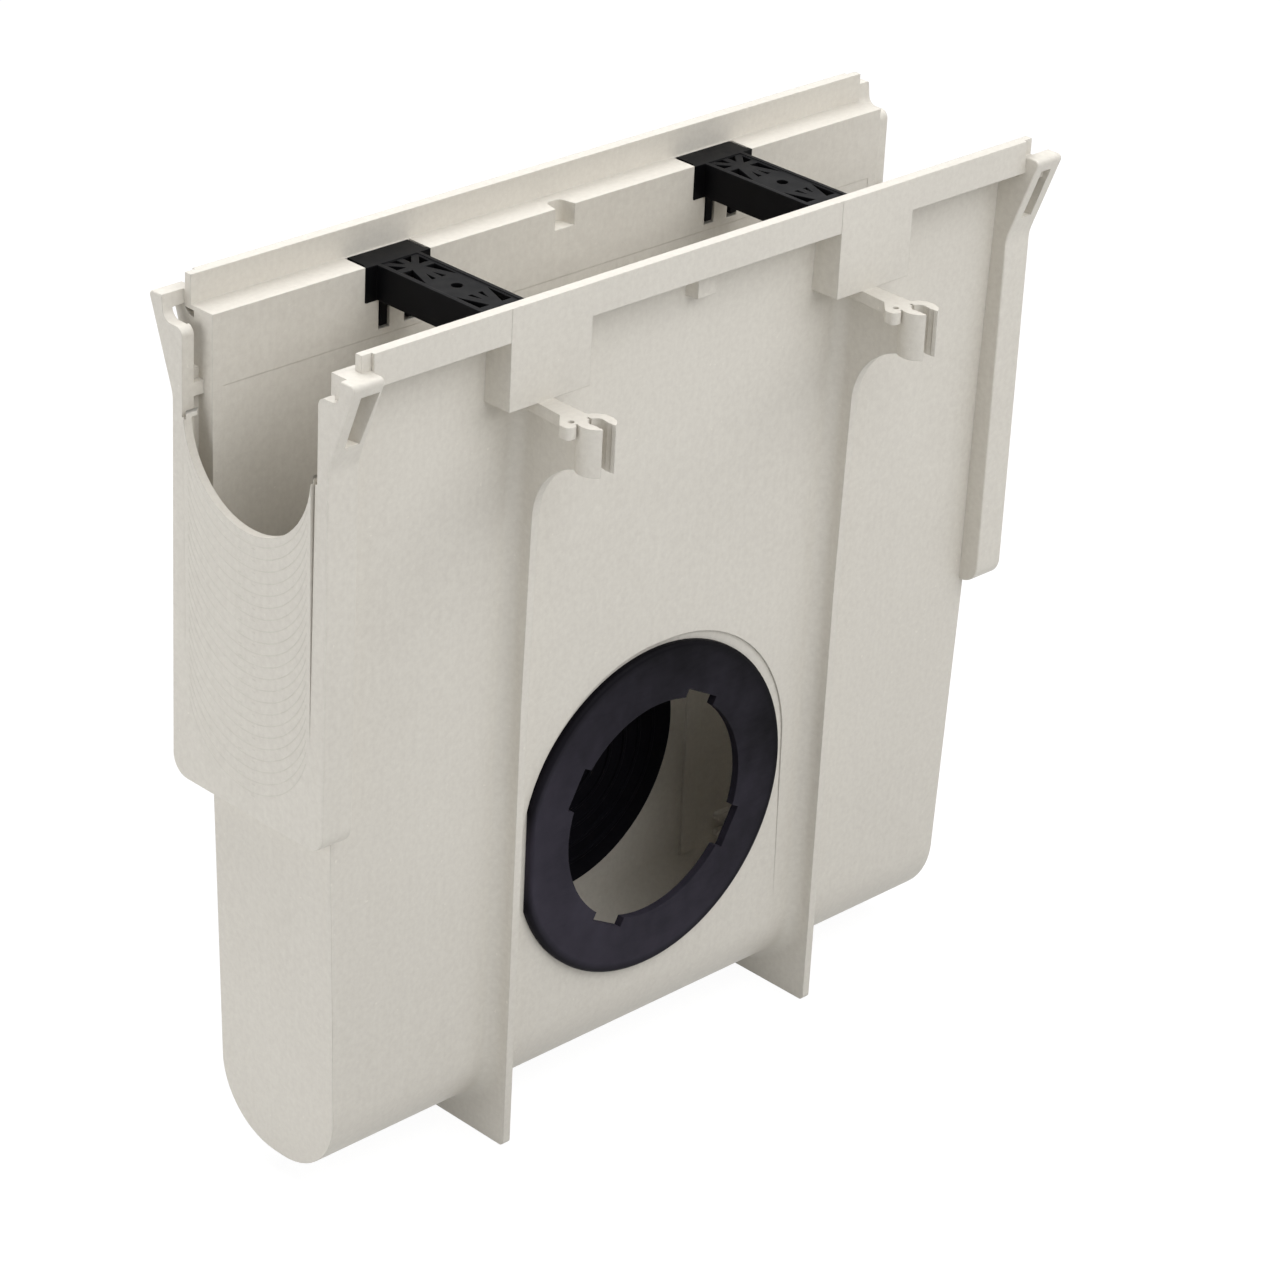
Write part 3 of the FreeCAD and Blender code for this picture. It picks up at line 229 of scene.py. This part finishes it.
def moulded_polypropylene(name, light, shade, edge_radius):
    """Injection-moulded grey polypropylene, satin to matt.

    The melt leaves clouds of tone, fine blotches, faint upright flow streaks and a few pale specks,
    and the mould's texture a fine grain. Edges are slightly round and catch the light.
    """
    material, tree, place = new_material(name)

    # Sizes in millimetres, the streaks' along X, Y and Z.
    cloud_size = 85
    blotch_size = 3.2
    speck_size = 2.6
    streak_size = (2.4, 2.4, 55)
    clouds = add(tree, NOISE, None, {"Vector": place, "Scale": per_metre(cloud_size), "Detail": 3.0})
    blotches = add(
        tree, NOISE, None,
        {"Vector": place, "Scale": per_metre(blotch_size), "Detail": 4.0, "Roughness": 0.6},
    )
    grains = add(tree, NOISE, None, {"Vector": place, "Scale": per_metre(GRAIN_SIZE), "Detail": 2.0})
    specks = add(tree, NOISE, None, {"Vector": place, "Scale": per_metre(speck_size), "Detail": 0.0})
    drawn = add(tree, MAPPING, None, {"Vector": place, "Scale": [per_metre(size) for size in streak_size]})
    streaks = add(tree, NOISE, None, {"Vector": drawn, "Scale": 1.0, "Detail": 3.0, "Roughness": 0.6})

    # The patterns' weighted sum runs from the shade at 0 to the light tone at 1.
    lightness = -0.85
    for pattern, weight in ((clouds, 0.6), (blotches, 1.7), (streaks, 0.4)):
        lightness = add(tree, MATH, WEIGHTED_SUM, {0: pattern, 1: weight, 2: lightness})
    tone = add(tree, MIX, COLOURS, {"Factor": lightness, FIRST: opaque(shade), SECOND: opaque(light)})
    speck_gain = 1.25
    pale = [min(1.0, part * speck_gain) for part in light]
    speckled = add(
        tree, RANGE, None,
        {"Value": specks, "From Min": 0.84, "From Max": 0.90, "To Min": 0.0, "To Max": 0.35},
    )
    tone = add(tree, MIX, COLOURS, {"Factor": speckled, FIRST: tone.outputs[MIXED], SECOND: opaque(pale)})

    gloss = add(
        tree, RANGE, None,
        {"Value": blotches, "From Min": 0.3, "From Max": 0.7, "To Min": 0.45, "To Max": 0.57},
    )
    streak_depth = 0.06 * MM
    normal = add(tree, BEVEL, {"samples": EDGE_SAMPLES}, {"Radius": edge_radius})
    normal = add(
        tree, BUMP, None, {"Height": streaks, "Strength": 0.06, "Distance": streak_depth, "Normal": normal}
    )
    normal = add(
        tree, BUMP, None, {"Height": grains, "Strength": 0.16, "Distance": GRAIN_DEPTH, "Normal": normal}
    )
    plastic(tree, tone.outputs[MIXED], gloss, normal, shine=0.5)
    return material


def moulded_black_polypropylene(name, light, shade, edge_radius, low, high):
    """Injection-moulded blue-black polypropylene, with a painted sheen that makes it paler towards its low
    left.

    Its round outer edge gets painted shade, and a few scuffs and a fine grain break the gloss.
    """
    material, tree, place = new_material(name)

    # Sizes in millimetres, the scuffs' along X, Y and Z.
    cloud_size = 70
    blotch_size = 9
    scuff_size = (14, 14, 1.6)
    clouds = add(tree, NOISE, None, {"Vector": place, "Scale": per_metre(cloud_size), "Detail": 3.0})
    blotches = add(
        tree, NOISE, None,
        {"Vector": place, "Scale": per_metre(blotch_size), "Detail": 4.0, "Roughness": 0.6},
    )
    drawn = add(tree, MAPPING, None, {"Vector": place, "Scale": [per_metre(size) for size in scuff_size]})
    scuffs = add(tree, NOISE, None, {"Vector": drawn, "Scale": 1.0, "Detail": 3.0, "Roughness": 0.6})
    grains = add(tree, NOISE, None, {"Vector": place, "Scale": per_metre(GRAIN_SIZE), "Detail": 2.0})

    # Shares that grow to the left, downwards, and outwards from the flange's axis: the first two paint a
    # sheen on the low left, the last paints shade on the round outer edge.
    part = add(tree, "ShaderNodeSeparateXYZ", None, {"Vector": place}).outputs
    falling = {"To Min": 1.0, "To Max": 0.0}
    leftward_sheen = add(tree, RANGE, None, {"Value": part["X"], "From Min": low.x, "From Max": high.x, **falling})
    downward_sheen = add(tree, RANGE, None, {"Value": part["Z"], "From Min": low.z, "From Max": high.z, **falling})
    radius = (high.z - low.z) / 2
    axis = (high.x - radius, 0, low.z + radius)
    flat = add(tree, "ShaderNodeCombineXYZ", None, {"X": part["X"], "Z": part["Z"]})
    reach = add(tree, "ShaderNodeVectorMath", {"operation": "DISTANCE"}, {0: flat, 1: axis}).outputs["Value"]
    rim_start = 0.94 * radius
    rim_full = 0.985 * radius
    painted_rim_shade = add(
        tree, RANGE, None,
        {"Value": reach, "From Min": rim_start, "From Max": rim_full, "To Min": 0.0, "To Max": 0.8},
    )

    # The weighted sum, painted sheen included, runs from the shade at 0 to the light tone at 1.
    lightness = -0.85
    for pattern, weight in ((leftward_sheen, 0.45), (downward_sheen, 0.75), (clouds, 1.1), (blotches, 0.35)):
        lightness = add(tree, MATH, WEIGHTED_SUM, {0: pattern, 1: weight, 2: lightness})
    tone = add(tree, MIX, COLOURS, {"Factor": lightness, FIRST: opaque(shade), SECOND: opaque(light)})
    # Painted shade on the round outer edge.
    tone = add(tree, MIX, COLOURS, {"Factor": painted_rim_shade, FIRST: tone.outputs[MIXED], SECOND: opaque(shade)})

    gloss = add(
        tree, RANGE, None,
        {"Value": scuffs, "From Min": 0.3, "From Max": 0.75, "To Min": 0.38, "To Max": 0.58},
    )
    normal = add(tree, BEVEL, {"samples": EDGE_SAMPLES}, {"Radius": edge_radius})
    normal = add(
        tree, BUMP, None, {"Height": grains, "Strength": 0.16, "Distance": GRAIN_DEPTH, "Normal": normal}
    )
    plastic(tree, tone.outputs[MIXED], gloss, normal, shine=0.04)
    return material


def glass_filled_polyamide(name, light, shade, edge_radius):
    """Black polyamide with short glass fibres, which give a mottled satin and a fine tooth."""
    material, tree, place = new_material(name)

    # Sizes in millimetres. Real fibres are far thinner, and these are drawn coarse enough to show.
    fibre_size = (0.5, 4.0, 0.5)
    fibre_depth = 0.05 * MM
    mottle_size = 11
    drawn = add(tree, MAPPING, None, {"Vector": place, "Scale": [per_metre(size) for size in fibre_size]})
    fibres = add(tree, NOISE, None, {"Vector": drawn, "Scale": 1.0, "Detail": 2.0, "Roughness": 0.6})
    mottles = add(tree, NOISE, None, {"Vector": place, "Scale": per_metre(mottle_size), "Detail": 4.0})

    tone = add(tree, MIX, COLOURS, {"Factor": mottles, FIRST: opaque(shade), SECOND: opaque(light)})
    gloss = add(
        tree, RANGE, None,
        {"Value": mottles, "From Min": 0.3, "From Max": 0.7, "To Min": 0.36, "To Max": 0.50},
    )
    normal = add(tree, BEVEL, {"samples": EDGE_SAMPLES}, {"Radius": edge_radius})
    normal = add(
        tree, BUMP, None, {"Height": fibres, "Strength": 0.25, "Distance": fibre_depth, "Normal": normal}
    )
    plastic(tree, tone.outputs[MIXED], gloss, normal, shine=0.06)
    return material


def finish_node(node, material):
    """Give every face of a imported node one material."""
    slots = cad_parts[node].data.materials
    slots.clear()
    slots.append(material)


def new_piece(name, shape, material):
    """Turn a bmesh into a piece that rides on the basin."""
    mesh = bpy.data.meshes.new(name)
    shape.to_mesh(mesh)
    shape.free()
    mesh.materials.append(material)
    piece = bpy.data.objects.new(name, mesh)
    bpy.context.scene.collection.objects.link(piece)
    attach(piece, BODY)
    return piece


def lay_on_panels(shape):
    """Lean a shape, drawn at x = 0, onto the left panel, and repeat it on the right one."""
    lean = Matrix.Identity(4)
    lean[0][2] = -PANEL_PROUD / (PANEL_TOP - PANEL_FLUSH)
    about = Matrix.Translation((0, 0, -PANEL_FLUSH))
    raised = [vert for vert in shape.verts if vert.co.z > PANEL_FLUSH]
    bmesh.ops.transform(shape, matrix=lean, space=about, verts=raised)
    bmesh.ops.translate(shape, vec=(-PANEL_OUT, 0, 0), verts=shape.verts)
    copy = bmesh.ops.duplicate(shape, geom=shape.verts[:] + shape.edges[:] + shape.faces[:])["geom"]
    verts = [item for item in copy if isinstance(item, bmesh.types.BMVert)]
    bmesh.ops.rotate(shape, cent=(0, 0, 0), matrix=Matrix.Rotation(math.pi, 3, "Z"), verts=verts)
    bmesh.ops.recalc_face_normals(shape, faces=shape.faces)


class CATCHBASIN_OT_body(bpy.types.Operator):
    """Finish the one-piece body"""

    bl_idname = "catch_basin.body"
    bl_label = "Moulded body"

    def execute(self, context):
        look = context.scene.catch_basin_finish
        material = moulded_polypropylene(
            "moulded_grey_polypropylene", look.body_light, look.body_shade, look.edge_radius
        )
        finish_node("basin_body", material)
        return {"FINISHED"}


class CATCHBASIN_OT_guides(bpy.types.Operator):
    """Draw the cutting guides and their graduation marks on both knock-out panels"""

    bl_idname = "catch_basin.guides"
    bl_label = "Cutting guides"

    def execute(self, context):
        sizes = context.scene.catch_basin_guides
        look = context.scene.catch_basin_finish
        # The guides and marks are the grey plastic, darkened as painted shade.
        material = moulded_polypropylene(
            "moulded_grey_polypropylene_guides", look.guide_light, look.guide_shade, look.guide_edge_radius
        )
        new_piece("cutting_guides", self.guides(sizes), material)
        new_piece("graduation_marks", self.marks(sizes), material)
        return {"FINISHED"}

    def guides(self, sizes):
        """A thin rib along an arc, repeated down the panel."""
        shape = bmesh.new()
        section_sides = 4
        arc_steps = 28
        upright = Matrix.Rotation(math.pi / 2, 4, "X")
        flat = Matrix.Diagonal((sizes.proud, 1, sizes.width / 2, 1))
        start = Matrix.Rotation(-sizes.sweep / 2, 4, "X") @ Matrix.Translation((0, 0, -sizes.radius))
        for number in range(sizes.count):
            axis_up = sizes.top - number * sizes.spacing + sizes.radius
            section = bmesh.ops.create_circle(shape, cap_ends=True, segments=section_sides, radius=1)["verts"]
            place = Matrix.Translation((0, 0, axis_up)) @ start @ flat @ upright
            bmesh.ops.transform(shape, matrix=place, verts=section)
            faces = {face for vert in section for face in vert.link_faces}
            bmesh.ops.spin(
                shape, geom=list(faces), cent=(0, 0, axis_up), axis=(1, 0, 0),
                angle=sizes.sweep, steps=arc_steps, use_merge=False,
            )
        bmesh.ops.holes_fill(shape, edges=shape.edges, sides=section_sides)
        lay_on_panels(shape)
        return shape

    def marks(self, sizes):
        """Two short raised bars at every guide, one on each side of the panel's middle."""
        shape = bmesh.new()
        stagger = sizes.spacing / 4
        for number in range(sizes.count):
            for side in (-1, 1):
                up = sizes.top - number * sizes.spacing + side * stagger
                bar = bmesh.ops.create_cube(shape, size=1)["verts"]
                scale = (2 * sizes.proud, sizes.mark_long, sizes.mark_thick)
                place = Matrix.Translation((0, side * sizes.mark_reach, up)) @ Matrix.Diagonal((*scale, 1))
                bmesh.ops.transform(shape, matrix=place, verts=bar)
        bmesh.ops.bevel(
            shape, geom=shape.edges[:], offset=sizes.mark_edge,
            affect="EDGES", segments=2, profile=0.5, material=-1,
        )
        lay_on_panels(shape)
        return shape


class CATCHBASIN_OT_crossbars(bpy.types.Operator):
    """Finish the two crossbars"""

    bl_idname = "catch_basin.crossbars"
    bl_label = "Crossbars"

    def execute(self, context):
        look = context.scene.catch_basin_finish
        material = glass_filled_polyamide(
            "glass_filled_black_polyamide", look.bar_light, look.bar_shade, look.edge_radius
        )
        finish_node("left_crossbar", material)
        finish_node("right_crossbar", material)
        return {"FINISHED"}


class CATCHBASIN_OT_outlets(bpy.types.Operator):
    """Finish the outlet ring and the outlet cap"""

    bl_idname = "catch_basin.outlets"
    bl_label = "Outlet ring and cap"

    def execute(self, context):
        look = context.scene.catch_basin_finish
        low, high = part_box("front_outlet_ring")
        material = moulded_black_polypropylene(
            "moulded_blue_black_polypropylene", look.ring_light_and_sheen, look.ring_shade, look.edge_radius, low, high
        )
        finish_node("front_outlet_ring", material)
        # The cap's darker tones are painted shade.
        low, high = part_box("rear_outlet_cap")
        material = moulded_black_polypropylene(
            "moulded_black_polypropylene_cap", look.shaded_cap_light, look.shaded_cap_dark, look.edge_radius, low, high
        )
        finish_node("rear_outlet_cap", material)
        return {"FINISHED"}


class CATCHBASIN_OT_stage(bpy.types.Operator):
    """Set the floor, the light and the camera"""

    bl_idname = "catch_basin.stage"
    bl_label = "Studio"

    def execute(self, context):
        sizes = context.scene.catch_basin_stage
        self.floor(sizes)
        self.world(context.scene, sizes)
        for name, place in SOFTBOXES.items():
            self.softbox(name + "_softbox", place, sizes, getattr(sizes, name + "_light"))
        self.camera(context.scene, sizes)
        context.scene.view_settings.view_transform = "Standard"
        return {"FINISHED"}

    def seen(self, tree):
        """One for rays that look at the background: straight, mirrored or through glass."""
        path = add(tree, "ShaderNodeLightPath")
        straight = path.outputs["Is Camera Ray"]
        mirrored = path.outputs["Is Glossy Ray"]
        through = path.outputs["Is Transmission Ray"]
        either = add(tree, MATH, {"operation": "ADD"}, {0: straight, 1: mirrored})
        return add(tree, MATH, {"operation": "ADD", "use_clamp": True}, {0: either, 1: through})

    def floor(self, sizes):
        """A white sheet that glows enough to look white and still takes the shadow."""
        shape = bmesh.new()
        bmesh.ops.create_grid(shape, x_segments=1, y_segments=1, size=sizes.floor_size)
        mesh = bpy.data.meshes.new("floor")
        shape.to_mesh(mesh)
        shape.free()
        material, tree, place = new_material("white_studio_paper")
        fibres = add(tree, NOISE, None, {"Vector": place, "Scale": per_metre(PAPER_FIBRE), "Detail": 2.0})
        tones = {FIRST: opaque(linear(PAPER_SHADE)), SECOND: opaque(linear(PAPER_LIGHT))}
        tone = add(tree, MIX, COLOURS, {"Factor": fibres, **tones}).outputs[MIXED]
        paper = add(tree, "ShaderNodeBsdfDiffuse", None, {"Color": tone})
        glow = add(tree, "ShaderNodeEmission", None, {"Color": WHITE, "Strength": GLOW_STRENGTH})
        share = add(tree, MATH, {"operation": "MULTIPLY"}, {0: self.seen(tree), 1: GLOW_SHARE})
        surface = add(tree, MIX_SHADER, None, {0: share, 1: paper, 2: glow})
        add(tree, "ShaderNodeOutputMaterial", None, {"Surface": surface})
        mesh.materials.append(material)
        floor = bpy.data.objects.new("floor", mesh)
        bpy.context.scene.collection.objects.link(floor)

    def world(self, scene, sizes):
        """Even light all round, seen as white."""
        world = bpy.data.worlds.new("studio")
        world.use_nodes = True
        tree = world.node_tree
        tree.nodes.clear()
        even = add(tree, "ShaderNodeBackground", None, {"Color": WHITE, "Strength": sizes.world_light})
        white = add(tree, "ShaderNodeBackground", None, {"Color": WHITE, "Strength": 1.0})
        surface = add(tree, MIX_SHADER, None, {0: self.seen(tree), 1: even, 2: white})
        add(tree, "ShaderNodeOutputWorld", None, {"Surface": surface})
        scene.world = world

    def softbox(self, name, place, sizes, watts):
        """A square area lamp that faces the object."""
        lamp = bpy.data.lights.new(name, "AREA")
        lamp.shape = "SQUARE"
        lamp.size = sizes.softbox_size
        lamp.energy = watts
        light = bpy.data.objects.new(name, lamp)
        light.location = place
        light.rotation_euler = (Vector(sizes.target) - light.location).to_track_quat("-Z", "Y").to_euler()
        bpy.context.scene.collection.objects.link(light)

    def camera(self, scene, sizes):
        """Look at the target from the given angles."""
        lens = bpy.data.cameras.new("camera")
        lens.lens = sizes.lens
        lens.clip_end = 4 * sizes.floor_size
        camera = bpy.data.objects.new("camera", lens)
        turn = (
            Matrix.Rotation(sizes.azimuth, 4, "Z")
            @ Matrix.Rotation(math.pi / 2 - sizes.elevation, 4, "X")
            @ Matrix.Rotation(sizes.roll, 4, "Z")
        )
        away = turn @ Vector((0, 0, sizes.distance))
        camera.matrix_world = Matrix.Translation(Vector(sizes.target) + away) @ turn
        scene.collection.objects.link(camera)
        scene.camera = camera


class CATCHBASIN_PT_panel(bpy.types.Panel):
    """Lists the steps and what they read"""

    bl_idname = "CATCHBASIN_PT_panel"
    bl_label = "Catch basin"
    bl_space_type = "VIEW_3D"
    bl_region_type = "UI"
    bl_category = "Catch basin"

    def draw(self, context):
        layout = self.layout
        for operator in OPERATORS:
            layout.operator(operator.bl_idname)
        for name in GROUPS:
            group = getattr(context.scene, name)
            column = layout.column()
            for key in group.__annotations__:
                column.prop(group, key)


GROUPS = {
    "catch_basin_finish": CatchBasinFinish,
    "catch_basin_guides": CatchBasinGuides,
    "catch_basin_stage": CatchBasinStage,
}
OPERATORS = (
    CATCHBASIN_OT_body,
    CATCHBASIN_OT_guides,
    CATCHBASIN_OT_crossbars,
    CATCHBASIN_OT_outlets,
    CATCHBASIN_OT_stage,
)
CLASSES = (*GROUPS.values(), *OPERATORS, CATCHBASIN_PT_panel)


def register():
    """Add the classes and hang the settings on the scene."""
    for item in CLASSES:
        bpy.utils.register_class(item)
    for name, group in GROUPS.items():
        setattr(bpy.types.Scene, name, PointerProperty(type=group))


def unregister():
    """Take the settings and the classes away again."""
    for name in GROUPS:
        delattr(bpy.types.Scene, name)
    for item in reversed(CLASSES):
        bpy.utils.unregister_class(item)


def main():
    """Build every piece in order."""
    register()
    bpy.ops.catch_basin.body()
    bpy.ops.catch_basin.guides()
    bpy.ops.catch_basin.crossbars()
    bpy.ops.catch_basin.outlets()
    bpy.ops.catch_basin.stage()


if __name__ == "__main__":
    main()
